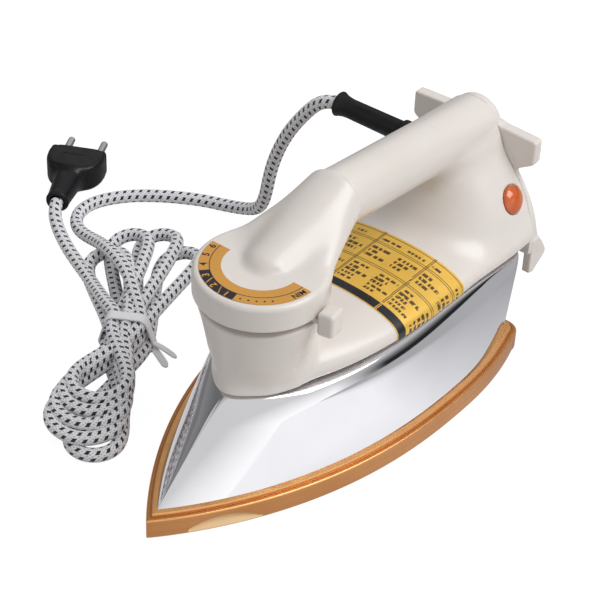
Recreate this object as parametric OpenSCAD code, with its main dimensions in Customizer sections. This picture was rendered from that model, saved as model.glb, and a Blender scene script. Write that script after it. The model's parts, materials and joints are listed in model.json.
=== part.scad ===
// Heavy dry clothes iron, built from its separate pieces.
// +Z is up, the nose points to -Y, and the sole rests on z = 0.
// Lengths are in millimetres.

/* [Soleplate] */
// Length from the nose of the sole to the rear edge of the heel feet
overall_length = 258.4; // [256:0.2:261]
// Greatest width of the sole
sole_width = 116; // [113:1:118]
// Height of the outer wall of the sole
sole_wall = 10.8; // [10:0.1:11.4]
// Height of the raised rim that the chrome cover stands on
sole_rim = 12.6; // [12.2:0.1:12.8]

/* [Chrome cover] */
// How far the cover's edge stands in from the edge of the sole
cover_inset = 5; // [4.5:0.1:5.5]
// Height of the cover's flat top
cover_top = 51; // [50.6:0.1:51.2]
// Thickness of the cover's sheet
cover_sheet = 1.2; // [1:0.1:1.4]

/* [Handle] */
// Height of the handle's lower edge
skirt_z = 52.4; // [52:0.1:52.8]
// Half width of the handle's lower edge
skirt_half = 40.2; // [39.6:0.1:40.6]
// Diameter of the hand grip
grip_diameter = 28; // [27:0.5:29]
// Fall of the grip towards the rear, in degrees
grip_fall = 6.5; // [6:0.1:7]
// Half span of the cord wings
wing_half = 36.2; // [34:0.2:38]

/* [Temperature control] */
// Radius of the dial cap's rim
cap_radius = 31; // [30.5:0.5:31.5]
// Height of the dial face
dial_z = 109.5; // [109:0.1:110]
// Outer radius of the printed scale
scale_outer = 28; // [27:0.2:28.4]
// Inner radius of the printed scale
scale_inner = 18.1; // [17.5:0.1:19]

/* [Cord] */
// Diameter of the braided cord
cord_d = 7; // [6.5:0.1:7]
// Height of the tied hank
hank_h = 19; // [17:1:21]

/* [Hidden] */

cream = "#e9e2da";
steel = "#b9bbbd";
brass = "#c8a24a";
black = "#1c1c1e";
braid = "#d9d8dc";

tip_y = -overall_length / 2;                 // nose of the sole
heel_y = overall_length / 2;                 // rear edge of the feet
wide_y = 37;                                 // station of the sole's greatest width
sole_heel = 98;                              // rear edge of the sole
heel_half = 50.5;                            // half width of the sole near its rear corners
dial_y = -51.5;                              // centre of the dial and of the control shaft
skirt_front = -77.5;                         // nose of the handle's lower edge
body_rear = 113;                             // plane where the handle meets the rear cover
seam_y = 0;                                  // seam between the cap and the grip
grip_r = grip_diameter / 2;
grip_z0 = 118.2;                             // height of the grip's axis at the seam
post_top = 91.6;                             // top of the front post, below the lever
cap_bottom = 96;                             // lower edge of the cap's rim
arch_front = 4;                              // front edge of the fabric label
arch_rear = 54;                              // rear edge of the fabric label
block_z = 64;                                // underside of the terminal block
stud_y = [-20, 62];                          // stations of the two cover studs
screw_y = [-36, 78];                         // stations of the two screws that hold the handle
rivet_y = [-64, -44];                        // stations of the rivets that hold the thermostat
stack_y = -36;                               // fixed end of the thermostat's blades
terminal_x = 14;                             // half spacing of the heater's terminals
post_screw_x = 25;                           // half spacing of the rear cover's screws
post_screw_z = 64;
clamp_x = 5.6;                               // half spacing of the cord clamp's screws
clamp_z = 87;
plate_z = 14;                                // underside of the weight plate
plate_top = 27;                              // top of the weight plate
sleeve_y = 78.5;                             // station of the cord sleeve
sleeve_z = 107.5;
sleeve_mouth = -57.5;                        // free end of the cord sleeve
tie_at = [-98, -34];                         // where the hank is tied
hank_top_r = 28;
hank_bottom_r = 27;
tie_r = 13;
pin_x = 9.5;                                 // half spacing of the plug's pins
plug_length = 45;                            // from the pin face to the end of the strain relief
hank_top = [-134, 20];
hank_bottom = [-70, -88];
plug_face = [-223, 64.5];                      // centre of the plug's pin face
plug_turn = 27;                              // turn of the plug about Z, in degrees

function grip_z(y) = grip_z0 - (y - seam_y) * tan(grip_fall);
function mix(a, b, t) = a + (b - a) * t;

// Right half of a plan outline, from its nose to its heel: x swells from 0 to w, then eases in to
// w_heel before a corner of radius rc.
function plan_half(nose, wide, heel, w, w_heel, p, q, rc) = concat(
  [for (i = [0:15]) let (s = 1 - pow(i / 16, 1.6)) [w * pow(1 - pow(s, p), q), mix(wide, nose, s)]],
  [for (i = [0:7]) let (r = i / 8) [w - (w - w_heel) * pow(r, 2.2), mix(wide, heel - rc, r)]],
  [for (a = [0:22.5:90]) [w_heel - rc + rc * cos(a), heel - rc + rc * sin(a)]]);

// The whole outline, counter-clockwise seen from above.
function both_sides(half) = concat(half, [for (i = [len(half) - 1:-1:1]) [-half[i][0], half[i][1]]]);
function at_z(ring, z) = [for (p = ring) [p[0], p[1], z]];
function flip(list) = [for (i = [len(list) - 1:-1:0]) list[i]];
function mix_ring(a, b, t) = [for (i = [0:len(a) - 1]) mix(a[i], b[i], t)];

// A solid through rings of equal length, closed at both ends.
module skin(rings) {
  n = len(rings[0]);
  m = len(rings);
  polyhedron(
    points = [for (ring = rings) each ring],
    faces = concat(
      [[for (i = [0:n - 1]) i]],
      [for (j = [0:m - 2], i = [0:n - 1]) let (a = j * n + i, b = j * n + (i + 1) % n)
        each [[a, a + n, b], [b, a + n, b + n]]],
      [[for (i = [n - 1:-1:0]) (m - 1) * n + i]]));
}

// Points on a smooth curve through a route, k steps to each stretch.
function curve_at(p, i, t) = let (a = p[max(i - 1, 0)], b = p[i], c = p[i + 1], d = p[min(i + 2, len(p) - 1)])
  0.5 * (2 * b + (c - a) * t + (2 * a - 5 * b + 4 * c - d) * t * t + (3 * b - a - 3 * c + d) * t * t * t);
function curve(p, k) = concat(
  [for (i = [0:len(p) - 2], j = [0:k - 1]) curve_at(p, i, j / k)], [p[len(p) - 1]]);
function unit(v) = v / norm(v);

// A round tube swept along a path of points.
module tube(path, d, sides = 8) {
  last = len(path) - 1;
  skin([for (i = [0:last])
    let (t = unit(path[min(i + 1, last)] - path[max(i - 1, 0)]))
    let (n = unit(cross([0.02, 0.03, 1], t)), b = cross(t, n))
    [for (j = [0:sides - 1]) path[i] + d / 2 * (cos(j * 360 / sides) * n + sin(j * 360 / sides) * b)]]);
}

module bolt(d, head_d, head_h, length) {
  cylinder(d = d, h = length, $fn = 24);
  difference() {
    translate([0, 0, -head_h]) cylinder(d = head_d, h = head_h, $fn = 32);
    translate([-head_d, -0.5, -head_h - 1]) cube([2 * head_d, 1, 1 + head_h * 0.4]);
  }
}

// ---- Sole, heater and weight ----

function sole_ring(inset) = both_sides(plan_half(tip_y + 1.5 * inset, wide_y, sole_heel - inset,
  sole_width / 2 - inset, heel_half - inset, 2.33, 0.96, max(2, 8 - inset / 2)));

module soleplate() {
  color("#b87a3d") difference() {
    union() {
      linear_extrude(height = 1.2) polygon(sole_ring(0.7));
      translate([0, 0, 1.2]) linear_extrude(height = sole_wall - 2) polygon(sole_ring(0));
      translate([0, 0, sole_wall - 0.8]) linear_extrude(height = 0.8) polygon(sole_ring(0.7));
      linear_extrude(height = sole_rim) polygon(sole_ring(2.6));
    }
    for (y = stud_y) translate([0, y, 5]) cylinder(d = 5, h = 20, $fn = 32);
  }
}

module mica_sheets() {
  color("#cdb98a") for (z = [sole_rim, sole_rim + 0.9]) difference() {
    translate([0, 0, z]) linear_extrude(height = 0.4) polygon(sole_ring(12));
    for (y = stud_y) translate([0, y, z - 1]) cylinder(d = 8, h = 4, $fn = 32);
    for (x = [-terminal_x, terminal_x]) translate([x - 4, 74, z - 1]) cube([8, 7, 4]);
  }
}

// A flat ribbon that follows the sole's outline and comes back to the rear.
module heating_element() {
  color("#8f8578") translate([0, 0, sole_rim + 0.4]) linear_extrude(height = 0.5) difference() {
    polygon(sole_ring(16));
    polygon(sole_ring(25));
    translate([-6, 60]) square([12, 60]);
  }
}

module heater_terminals() {
  color(brass) for (x = [-terminal_x, terminal_x]) {
    translate([x - 3, 75, sole_rim + 0.9]) cube([6, 1, 26]);
    translate([x - 3, 76, sole_rim + 0.9]) cube([6, 4, 0.4]);
  }
}

module weight_plate() {
  color("#55585c") difference() {
    translate([0, 0, plate_z]) linear_extrude(height = plate_top - plate_z) polygon(both_sides(
      plan_half(-90, wide_y, sole_heel - 14, 42, 34, 2, 0.9, 6)));
    for (y = stud_y) translate([0, y, 0]) cylinder(d = 7, h = 40, $fn = 32);
    for (x = [-terminal_x, terminal_x]) translate([x - 5, 72, 0]) cube([10, 10, 40]);
    for (y = rivet_y) translate([0, y, plate_top - 6]) cylinder(d = 3, h = 10, $fn = 24);
  }
}

module cover_studs() {
  color(steel) for (y = stud_y) translate([0, y, 5]) cylinder(d = 5, h = 53, $fn = 32);
}

// ---- Chrome cover ----

function cover_foot() = both_sides(plan_half(tip_y + 7.5, wide_y, sole_heel - 5, sole_width / 2 - cover_inset,
  heel_half - cover_inset, 2.33, 0.96, 7));
function cover_head() = both_sides(plan_half(skirt_front - 2.4, 40, sole_heel + 7, 41.8, 43.5, 3.1,
  0.72, 9));
function shrink(ring, k) = let (c = [0, 8]) [for (p = ring) let (v = p - c) c + v * (1 - k / norm(v))];
function cover_ring(h) = mix_ring(cover_foot(), cover_head(), 1 - pow(1 - h, 1.3));

module chrome_cover() {
  levels = [0, 0.05, 0.12, 0.22, 0.34, 0.46, 0.58, 0.7, 0.82, 0.92, 1];
  top = cover_top - 3.2;
  base = sole_rim + 0.8;
  outer = concat([at_z(cover_foot(), sole_rim)],
    [for (h = levels) at_z(shrink(cover_ring(h), 1.4 * min(1, h * 12)), mix(base, top, h))],
    [at_z(shrink(cover_head(), 1.4), cover_top - 0.6), at_z(shrink(cover_head(), 2), cover_top)]);
  inner = [for (h = levels) at_z(shrink(cover_ring(h), 1.4 * min(1, h * 12) + cover_sheet * 1.25),
    mix(sole_rim, cover_top - cover_sheet, h))];
  color("#d3d6da") difference() {
    skin(concat(flip(inner), outer));
    for (y = stud_y) translate([0, y, cover_top - 4]) cylinder(d = 5.6, h = 8, $fn = 32);
    translate([0, dial_y, cover_top - 4]) cylinder(d = 14, h = 8, $fn = 32);
    translate([0, 88, cover_top - 4]) cylinder(d = 16, h = 8, $fn = 32);
    for (y = screw_y) translate([0, y, cover_top - 4]) cylinder(d = 4.4, h = 8, $fn = 24);
  }
}

module cover_nuts() {
  color(steel) for (y = stud_y) translate([0, y, cover_top]) difference() {
    union() {
      cylinder(d = 12, h = 1, $fn = 32);
      cylinder(d = 9, h = 5, $fn = 6);
    }
    translate([0, 0, -1]) cylinder(d = 5, h = 8, $fn = 32);
  }
}

// ---- Handle ----

function skirt_ring(inset) = both_sides(plan_half(skirt_front + inset, 70, body_rear, skirt_half - inset,
  skirt_half - 0.6 - inset, 3.1, 0.8, 1));

// The low arch of the handle's skirt, a little higher and blunter towards the front.
function arch_rings(lift, side, rise) = [for (a = [0, 14, 28, 42, 56, 70, 82])
  let (k = cos(a), f = 1 - k)
  [for (p = skirt_ring(side)) [p[0] * k, mix(p[1], mix(10, p[1], 0.985), f),
    skirt_z + 3 + lift + rise * sin(a)]]];

// A level section of the rear post: half width w, front face at y0.
function post_section(z, w, y0) = [for (i = [0:11]) let (a = -90 + i * 90 / 8)
  i <= 8 ? [w * cos(a), body_rear - 14 + (body_rear - 14 - y0) * sin(a), z]
         : [w, mix(body_rear - 14, body_rear, (i - 8) / 3), z]];
function both_z(half) = concat(half, [for (i = [len(half) - 1:-1:1]) [-half[i][0], half[i][1], half[i][2]]]);

module rear_post() {
  sections = [[54, 39.5, 44], [60, 39.1, 52], [66, 38, 60], [73, 35.4, 66], [81, 31.3, 71.5], [90, 24.6, 76],
    [97, 18.3, 79], [103, 12.6, 82], [106, 8, 86]];
  skin([for (s = sections) both_z(post_section(s[0], s[1], s[2]))]);
}

module grip() {
  skin([for (y = [seam_y, 20, 48, 76, 100, body_rear])
    [for (j = [0:31]) let (a = -j * 360 / 32) [grip_r * cos(a), y, grip_z(y) + grip_r * sin(a)]]]);
}

module front_post() {
  levels = [[54, 25.5], [58, 24], [66, 23.8], [74, 25], [84, 27], [post_top - 0.8, 28.6], [post_top, 28]];
  profile = concat([[0, levels[0][0]]], [for (s = levels) [s[1], s[0]]], [[0, post_top]]);
  translate([0, dial_y, 0]) rotate_extrude($fn = 64) polygon(profile);
}

module handle_body() {
  color(cream) difference() {
    union() {
      difference() {
        skin(concat([at_z(skirt_ring(1), skirt_z)], arch_rings(0, 0, 11.2)));
        skin(concat([at_z(skirt_ring(4), skirt_z - 1)], arch_rings(-3, 3.5, 11)));
      }
      front_post();
      rear_post();
      grip();
    }
    translate([0, dial_y, 50]) cylinder(d = 9, h = 60, $fn = 32);
    translate([0, dial_y, 50]) cylinder(d = 26, h = 14, $fn = 48);
    for (y = stud_y) translate([0, y, 50]) cylinder(d = 14, h = 9, $fn = 32);
    for (y = screw_y) translate([0, y, 50]) cylinder(d = 3, h = 14, $fn = 24);
    translate([-17, 84, 50]) cube([34, 40, 36]);
    translate([-8, 83, 80]) cube([16, 40, 18]);
    translate([-8, 70, 98]) cube([16, 44, 13]);
    translate([-20, sleeve_y, sleeve_z]) rotate([0, 90, 0]) cylinder(d = 10, h = 16, $fn = 32);
    lamp_place() translate([0, 0, -30]) cylinder(d = 10, h = 40, $fn = 32);
    for (x = [-clamp_x, clamp_x]) translate([x, 86, clamp_z]) rotate([90, 0, 0])
      cylinder(d = 2.4, h = 8, $fn = 24);
    for (x = [-post_screw_x, post_screw_x]) translate([x, 120, post_screw_z]) rotate([90, 0, 0])
      cylinder(d = 3, h = 16, $fn = 24);
    translate([0, seam_y - 1, grip_z0]) rotate([-90, 0, 0]) cylinder(d = 3, h = 16, $fn = 24);
  }
}

module handle_screws() {
  color(steel) for (y = screw_y) translate([0, y, cover_top - cover_sheet]) bolt(4, 8, 2.4, 12);
}

// The cap's end that meets the grip.
module cap_seam() {
  translate([0, seam_y, grip_z0]) rotate([90, 0, 0]) cylinder(r = grip_r, h = 3, $fn = 48);
}

module front_cap() {
  edge = 2.6;
  shoulder_y = dial_y + 4;
  nose_r = 12;
  shield_r = 28;
  color(cream) difference() {
    union() {
      translate([0, dial_y, 0]) rotate_extrude($fn = 96) polygon(concat([[0, cap_bottom]],
        [[cap_radius - 0.8, cap_bottom], [cap_radius, cap_bottom + 0.8]],
        [for (a = [0:15:90]) [cap_radius - edge + edge * cos(a), dial_z - edge + edge * sin(a)]], [[0,
          dial_z]]));
      hull() {
        intersection() {
          translate([0, dial_y, cap_bottom + 4]) cylinder(r = cap_radius - 1,
            h = dial_z - cap_bottom - 5, $fn = 64);
          translate([-cap_radius, shoulder_y, cap_bottom]) cube([2 * cap_radius, cap_radius, 20]);
        }
        cap_seam();
      }
      hull() {
        translate([0, dial_y + 7, dial_z - 6]) sphere(r = nose_r, $fn = 32);
        cap_seam();
      }
      translate([0, dial_y, post_top]) cylinder(r = shield_r, h = 8, $fn = 64);
    }
    translate([0, dial_y, post_top - 1]) cylinder(r = shield_r - 2, h = 10.6, $fn = 64);
    translate([-40, dial_y - 57, post_top - 10]) cube([80, 69, cap_bottom - post_top + 10]);
    translate([0, dial_y, cap_bottom]) cylinder(d = 9, h = 10, $fn = 32);
    translate([0, seam_y - 12, grip_z0]) rotate([-90, 0, 0]) cylinder(d = 3, h = 20, $fn = 24);
  }
}

module cap_screw() {
  color(steel) translate([0, seam_y - 12, grip_z0]) rotate([-90, 0, 0]) cylinder(d = 3, h = 26, $fn = 24);
}

module scale_label() {
  color("#d59a3c") translate([0, dial_y, dial_z]) difference() {
    cylinder(r = scale_outer, h = 0.3, $fn = 96);
    translate([0, 0, -1]) cylinder(r = scale_inner, h = 3, $fn = 96);
    translate([-40, 0.5, -1]) cube([80, 40, 3]);
  }
}

// Printed foil that wraps over the arch, from one lower edge of the handle to the other.
module fabric_label() {
  color("#dcb45a") difference() {
    intersection() {
      skin(arch_rings(0.3, -0.35, 11.2));
      translate([-60, arch_front, skirt_z]) cube([120, arch_rear - arch_front, 40]);
    }
    skin(arch_rings(0, 0, 11.2));
    rear_post();
  }
}

// ---- Rear cover ----

// A level section of the rear cover: half width w, rear face at y1 on the sides and y2 in the middle.
function cover_section(z, w, y1, y2) = concat(
  [[-w, body_rear + 0.1, z], [w, body_rear + 0.1, z]],
  [for (i = [0:12]) let (a = i * 15, c = cos(a)) [w * c, mix(y1, y2, pow(sin(a), 0.7)), z]]);

module heel_foot(side) {
  translate([side * 38 - 2.4, 0, 0]) rotate([90, 0, 90]) linear_extrude(height = 4.8)
    polygon([[body_rear + 2.4, 50], [body_rear + 2.4, 29.6], [119, 28.6], [heel_y, 35.6], [heel_y, 38.5],
      [123.5, 50]]);
}

module cord_wings() {
  translate([0, 119.6, 0]) rotate([90, 0, 0]) linear_extrude(height = 6.5) polygon([
    [-20, 84.2], [20, 84.2], [wing_half - 1, 93.8], [wing_half, 95.6], [wing_half, 106.4],
    [wing_half - 1, 107.5], [14, 108.4], [-14, 108.4], [1 - wing_half, 107.5], [-wing_half, 106.4],
    [-wing_half, 95.6], [1 - wing_half, 93.8]]);
}

module rear_cover() {
  sections = [[42, 39.6, 124, 127], [48, 40, 122.4, 126.2], [56, 39.5, 120.8, 125], [64, 38.3, 119.8, 124],
    [73, 35.4, 119, 123], [81, 31.3, 118.4, 122.4], [90, 24.6, 118, 121.8], [97, 18.3, 117.6, 121.2],
    [103, 12.6, 117.4, 120.6], [107, 9, 117.2, 120.2]];
  color(cream) difference() {
    union() {
      skin([for (s = sections) cover_section(s[0], s[1], s[2], s[3])]);
      translate([0, body_rear + 0.1, grip_z(body_rear)]) rotate([-90, 0, 0]) cylinder(r = grip_r, h = 5,
        $fn = 64);
      cord_wings();
      for (side = [-1, 1]) heel_foot(side);
    }
    translate([-15, body_rear - 1, 58]) cube([30, 6, 38]);
    translate([-34, body_rear - 1, 40]) cube([68, 8, 10]);
    for (x = [-post_screw_x, post_screw_x]) translate([x, 0, post_screw_z]) rotate([-90, 0, 0]) {
      cylinder(d = 4, h = 140, $fn = 24);
      translate([0, 0, 117.5]) cylinder(d = 8, h = 20, $fn = 32);
    }
  }
}

module rear_cover_screws() {
  color(steel) for (x = [-post_screw_x, post_screw_x]) translate([x, 117.5, post_screw_z]) rotate([90, 0, 0])
    bolt(4, 7.4, 2.2, 13);
}

// ---- Pilot lamp ----

// The lamp looks out of the right side of the rear post, tilted a little upwards.
module lamp_place() {
  translate([31.3, 102, 80]) rotate([0, 65, 0]) children();
}

module lamp_lens() {
  color("#e0641e") lamp_place() rotate_extrude($fn = 64) difference() {
    union() {
      translate([0, -4]) square([4.8, 5]);
      intersection() {
        translate([0, -4.4]) circle(r = 8.2, $fn = 64);
        translate([0, 0.9]) square([6.2, 4]);
      }
    }
    translate([-10, -6]) square([10, 20]);
    translate([0, -5]) square([3.2, 6]);
  }
}

module neon_lamp() {
  color("#e8a070") lamp_place() rotate_extrude($fn = 32) intersection() {
    union() {
      translate([0, -13]) square([2.8, 9]);
      translate([0, -4]) circle(r = 2.8, $fn = 32);
    }
    translate([0, -20]) square([10, 30]);
  }
}

module lamp_resistor() {
  color("#c9b38a") translate([14.4, 92, 66]) {
    rotate([0, 90, 90]) translate([0, 0, -4]) cylinder(d = 3, h = 8, $fn = 24);
    rotate([0, 90, 90]) translate([0, 0, -6]) cylinder(d = 0.8, h = 12, $fn = 16);
  }
}

// ---- Terminals and cord entry ----

module terminal_block() {
  color("#e8e4dc") difference() {
    translate([-12, 97, block_z]) cube([24, 11, 15]);
    for (x = [-7, 0, 7]) {
      translate([x, 102, block_z - 1]) cylinder(d = 3, h = 20, $fn = 24);
      translate([x, 109, block_z + 8]) rotate([90, 0, 0]) cylinder(d = 4, h = 6, $fn = 24);
    }
  }
}

module terminal_screws() {
  color(brass) for (x = [-7, 0, 7]) translate([x, 108, block_z + 8]) rotate([90, 0, 0]) bolt(3, 4.6, 1.4, 4);
}

module cord_clamp() {
  color("#d8d4cc") difference() {
    translate([-7.6, 91.7, 84.5]) cube([15.2, 3, 5]);
    for (x = [-clamp_x, clamp_x]) translate([x, 96, clamp_z]) rotate([90, 0, 0])
      cylinder(d = 2.4, h = 8, $fn = 24);
  }
}

module clamp_screws() {
  color(steel) for (x = [-clamp_x, clamp_x]) translate([x, 94.7, clamp_z]) rotate([90, 0, 0])
    bolt(2.4, 4, 1.4, 16);
}

// Rubber sleeve that keeps the cord from kinking where it leaves the grip.
module cord_sleeve() {
  length = -8 - sleeve_mouth;
  color(black) translate([-8, sleeve_y, sleeve_z]) rotate([0, -90, 0]) rotate_extrude($fn = 64) polygon([
    [cord_d / 2 + 0.2, 0], [4.9, 0], [4.9, 6.4], [6.6, 6.4], [6.6, 10.6], [5.3, 12], [5, length - 6],
    [6.2, length - 1.6], [6.2, length], [cord_d / 2 + 0.2, length]]);
}

inner_route = [[-57.5, 78.5, 107.5], [-36, 78.5, 107.5], [-14, 78.5, 107.5], [-7, 79.2, 106.8],
  [-2.5, 82.5, 103.6], [-0.4, 86.6, 98.6], [0, 88, 92], [0, 88, 83]];

module inner_cord() {
  color(braid) tube(curve(inner_route, 2), cord_d, 12);
}

module wire(route) {
  tube(curve(route, 3), 2.2);
}

live_route = [[-7, 102, 64], [-6, 99, 58], [-4, 91, 54], [-3, 87, 48], [-6, 78, 40], [-9, 50, 36], [-9,
  10, 35],
  [-6, -14, 36], [-2.6, -24, 36.3], [-2.4, -30.9, 36.3]];
neutral_route = [[7, 102, 64], [6, 99, 58], [4, 91, 54], [3, 88, 50], [8, 82, 45], [13, 77, 42], [14,
  75.5, 39.5]];
earth_route = [[0, 102, 64], [0, 98, 58], [0, 91, 54], [0, 86, 48], [1, 82, 38], [5, 74, 31], [6, 68, 28.2]];
link_route = [[2.4, -30.9, 40.3], [2.8, -25, 40.3], [10, -16, 38], [18, 0, 36], [19, 24, 35], [18, 50, 37],
  [10, 69, 42], [-2, 73, 44], [-10, 73.5, 44.5], [-14, 74.8, 43], [-14, 75.6, 39.7]];
core_ends = [[-2, 87.4, -7], [0, 90, 0], [2, 87.4, 7]];  // where each core leaves the cord, and its terminal

module live_wire() {
  color("#8a4a2a") wire(live_route);
}

module neutral_wire() {
  color("#3a62a8") wire(neutral_route);
}

module earth_wire() {
  color("#5f9a3c") wire(earth_route);
}

module link_wire() {
  color("#f0f0ee") wire(link_route);
}

// The cord's three cores, from its cut end to the top of the terminal block.
module cord_cores() {
  color("#7a6a50") for (c = core_ends) wire([[c[0], c[1], 82.7], [c[0] * 1.2, c[1] + 1, 80],
    [mix(c[0], c[2], 0.6), 96, 81.5], [c[2], 100.6, 82], [c[2], 102, 79]]);
}

// ---- Thermostat ----

stack = [[28.5, 2.5], [32, 4], [36.6, 3.4], [40.6, 2.4]];  // each spacer's underside and height

module thermostat_bracket() {
  color(steel) difference() {
    union() {
      translate([-8, -68, plate_top]) cube([16, 38, 1.5]);
      for (x = [-8.5, 7]) translate([x, dial_y - 4, plate_top]) cube([1.5, 8, 17.6]);
      translate([-8.5, dial_y - 4, plate_top + 16.2]) cube([17, 8, 1.4]);
    }
    for (y = concat(rivet_y, [stack_y])) translate([0, y, plate_top - 1]) cylinder(d = 3, h = 4, $fn = 24);
    translate([0, dial_y, 40]) cylinder(d = 4.6, h = 8, $fn = 32);
  }
}

module thermostat_rivets() {
  color("#a8a29a") {
    for (y = rivet_y) translate([0, y, plate_top - 6]) {
      cylinder(d = 3, h = 7.5, $fn = 24);
      translate([0, 0, 7.5]) cylinder(d = 5, h = 1, $fn = 24);
    }
    translate([0, stack_y, plate_top]) cylinder(d = 3, h = 16, $fn = 24);
    translate([0, stack_y, 43]) cylinder(d = 5.4, h = 1.4, $fn = 24);
  }
}

module ceramic_spacers() {
  color("#efe9dc") for (ring = stack) translate([0, stack_y, ring[0]]) difference() {
    cylinder(d = 9, h = ring[1], $fn = 48);
    translate([0, 0, -1]) cylinder(d = 3, h = 8, $fn = 24);
  }
}

module strip(z, half, far_y, thick) {
  difference() {
    translate([-half, far_y, z]) cube([2 * half, stack_y + 5 - far_y, thick]);
    translate([0, stack_y, z - 1]) cylinder(d = 3, h = 4, $fn = 24);
  }
}

module bimetal_strip() {
  color("#b08a5a") strip(31, 5, -70, 1);
}

module contact_blades() {
  color(brass) {
    strip(36, 3.5, -64, 0.6);
    strip(40, 3.5, -66, 0.6);
  }
}

module contact_points() {
  color("#e4e4e2") {
    translate([0, -61, 36.6]) cylinder(d = 4, h = 1.4, $fn = 24);
    translate([0, -61, 38.5]) cylinder(d = 4, h = 1.5, $fn = 24);
  }
}

module thermostat_pusher() {
  color("#f2eee4") translate([0, dial_y, 41.8]) {
    cylinder(d = 4, h = 4.7, $fn = 32);
    translate([0, 0, 3.7]) cylinder(d = 6.4, h = 1, $fn = 32);
  }
}

module control_shaft() {
  color(steel) translate([0, dial_y, 46.9]) {
    cylinder(d = 6, h = 56, $fn = 32);
    cylinder(d = 10, h = 2, $fn = 32);
  }
}

// A disc turning in the groove under the cap, with an arm out to the tab that a thumb pushes.
module temperature_lever() {
  rest_turn = 6.6;
  color(cream) translate([0, dial_y, 0]) rotate([0, 0, rest_turn]) {
    difference() {
      union() {
        translate([0, 0, post_top + 0.6]) cylinder(r = 24.5, h = 2.6, $fn = 96);
        translate([0, 0, post_top + 3.2]) cylinder(d = 12, h = 4.5, $fn = 48);
        translate([22, -2.5, post_top + 0.6]) cube([11, 5, 3]);
        translate([cap_radius + 0.7, -5.5, 88]) cube([8.5, 11, 13]);
      }
      translate([0, 0, post_top - 1]) cylinder(d = 6, h = 20, $fn = 32);
    }
  }
}

// ---- Cord, hank and plug ----

lead_route = [[-57.5, 78.5, 107.5], [-63.5, 78.5, 106.4], [-69.5, 78.5, 102.8], [-75.5, 78.5, 96],
  [-81.5, 78.5, 87.5], [-87, 78.8, 79], [-92.5, 79.5, 68.5], [-97, 80, 57.5], [-100.5, 80.5, 46], [-103,
    81.2, 34],
  [-106.5, 83, 23], [-113, 86, 13.5], [-122, 88, 8], [-134, 87.5, 4.5], [-148, 83.5, 3.6], [-160, 77, 3.6],
  [-171.5, 69, 3.6], [-181.5, 60, 3.6], [-189.5, 48.5, 3.6], [-193, 37.5, 3.6], [-190.5, 27, 3.6],
  [-183.5, 19.5, 3.8], [-174.5, 16, 5], [-165, 13.5, 7.5], [-160, 11.5, 9.5]];
tail_route = [[-136, -16, 6.4], [-142, -12.5, 5], [-153.5, -6.5, 3.7], [-169.5, 0.5, 3.6], [-180, 6, 3.7],
  [-190, 11.5, 5], [-198, 17.5, 7.4], [-202.6, 24.4, 8.5]];

module cord_lead() {
  color(braid) tube(curve(lead_route, 2), cord_d);
}

module cord_tail() {
  color(braid) tube(curve(tail_route, 2), cord_d);
}

// A straight-sided limb between two round ends.
module limb(a, ra, b, rb) {
  n = unit([a[1] - b[1], b[0] - a[0]]);
  translate(a) circle(r = ra, $fn = 48);
  polygon([a + ra * n, a - ra * n, b - rb * n, b + rb * n]);
}

module cord_hank() {
  color(braid) linear_extrude(height = hank_h) {
    limb(hank_top, hank_top_r, tie_at, tie_r);
    limb(hank_bottom, hank_bottom_r, tie_at, tie_r);
    translate(tie_at) circle(r = tie_r, $fn = 48);
  }
}

// A flat tie round the waist of the hank, with two short ends.
module hank_tie() {
  color("#eeeef0") translate([tie_at[0], tie_at[1], 0]) rotate([0, 0, 30]) difference() {
    union() {
      translate([-15.6, -3, 0]) cube([31.2, 6, hank_h + 1.2]);
      translate([14, -4, 0]) rotate([0, 0, -50]) cube([13, 4, 1.4]);
      translate([15, -3, 1.5]) rotate([0, 0, -10]) cube([12, 2, 1.4]);
    }
    translate([-14.5, -20, -1]) cube([29, 40, hank_h + 1]);
  }
}

module plug_place() {
  translate([plug_face[0], plug_face[1], 8.5]) rotate([0, 0, plug_turn]) children();
}

module plug_body() {
  color(black) plug_place() {
    translate([0, 0, -8]) linear_extrude(height = 16) intersection() {
      union() {
        translate([-15.9, -9]) square([31.8, 9]);
        translate([0, -9]) circle(r = 15.9, $fn = 64);
      }
      translate([-20, -22]) square([40, 22]);
    }
    translate([0, -20, 0]) rotate([90, 0, 0]) cylinder(r1 = 7.9, r2 = 6, h = plug_length - 20, $fn = 48);
  }
}

module plug_pins() {
  color(steel) plug_place() for (x = [-pin_x, pin_x]) translate([x, 0, 0]) rotate([-90, 0, 0]) {
    cylinder(d = 4, h = 16, $fn = 32);
    translate([0, 0, 16]) cylinder(d = 2.8, h = 1, $fn = 32);
  }
}

// ---- Assembly ----
soleplate();
mica_sheets();
heating_element();
heater_terminals();
weight_plate();
cover_studs();
chrome_cover();
cover_nuts();
handle_body();
handle_screws();
front_cap();
cap_screw();
scale_label();
fabric_label();
rear_cover();
rear_cover_screws();
lamp_lens();
neon_lamp();
lamp_resistor();
terminal_block();
terminal_screws();
cord_clamp();
clamp_screws();
cord_sleeve();
inner_cord();
cord_cores();
live_wire();
neutral_wire();
earth_wire();
link_wire();
thermostat_bracket();
thermostat_rivets();
ceramic_spacers();
bimetal_strip();
contact_blades();
contact_points();
temperature_lever();
control_shaft();
thermostat_pusher();
cord_lead();
cord_hank();
hank_tie();
cord_tail();
plug_body();
plug_pins();
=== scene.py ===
"""A heavy dry iron: the visible pieces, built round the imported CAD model.

Shapes are in millimetres until they are meshes. The nose points along -Y and Z is up.
"""
import json
import math

import bpy
import numpy as np
import openvdb
from mathutils import Matrix, Vector


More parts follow.
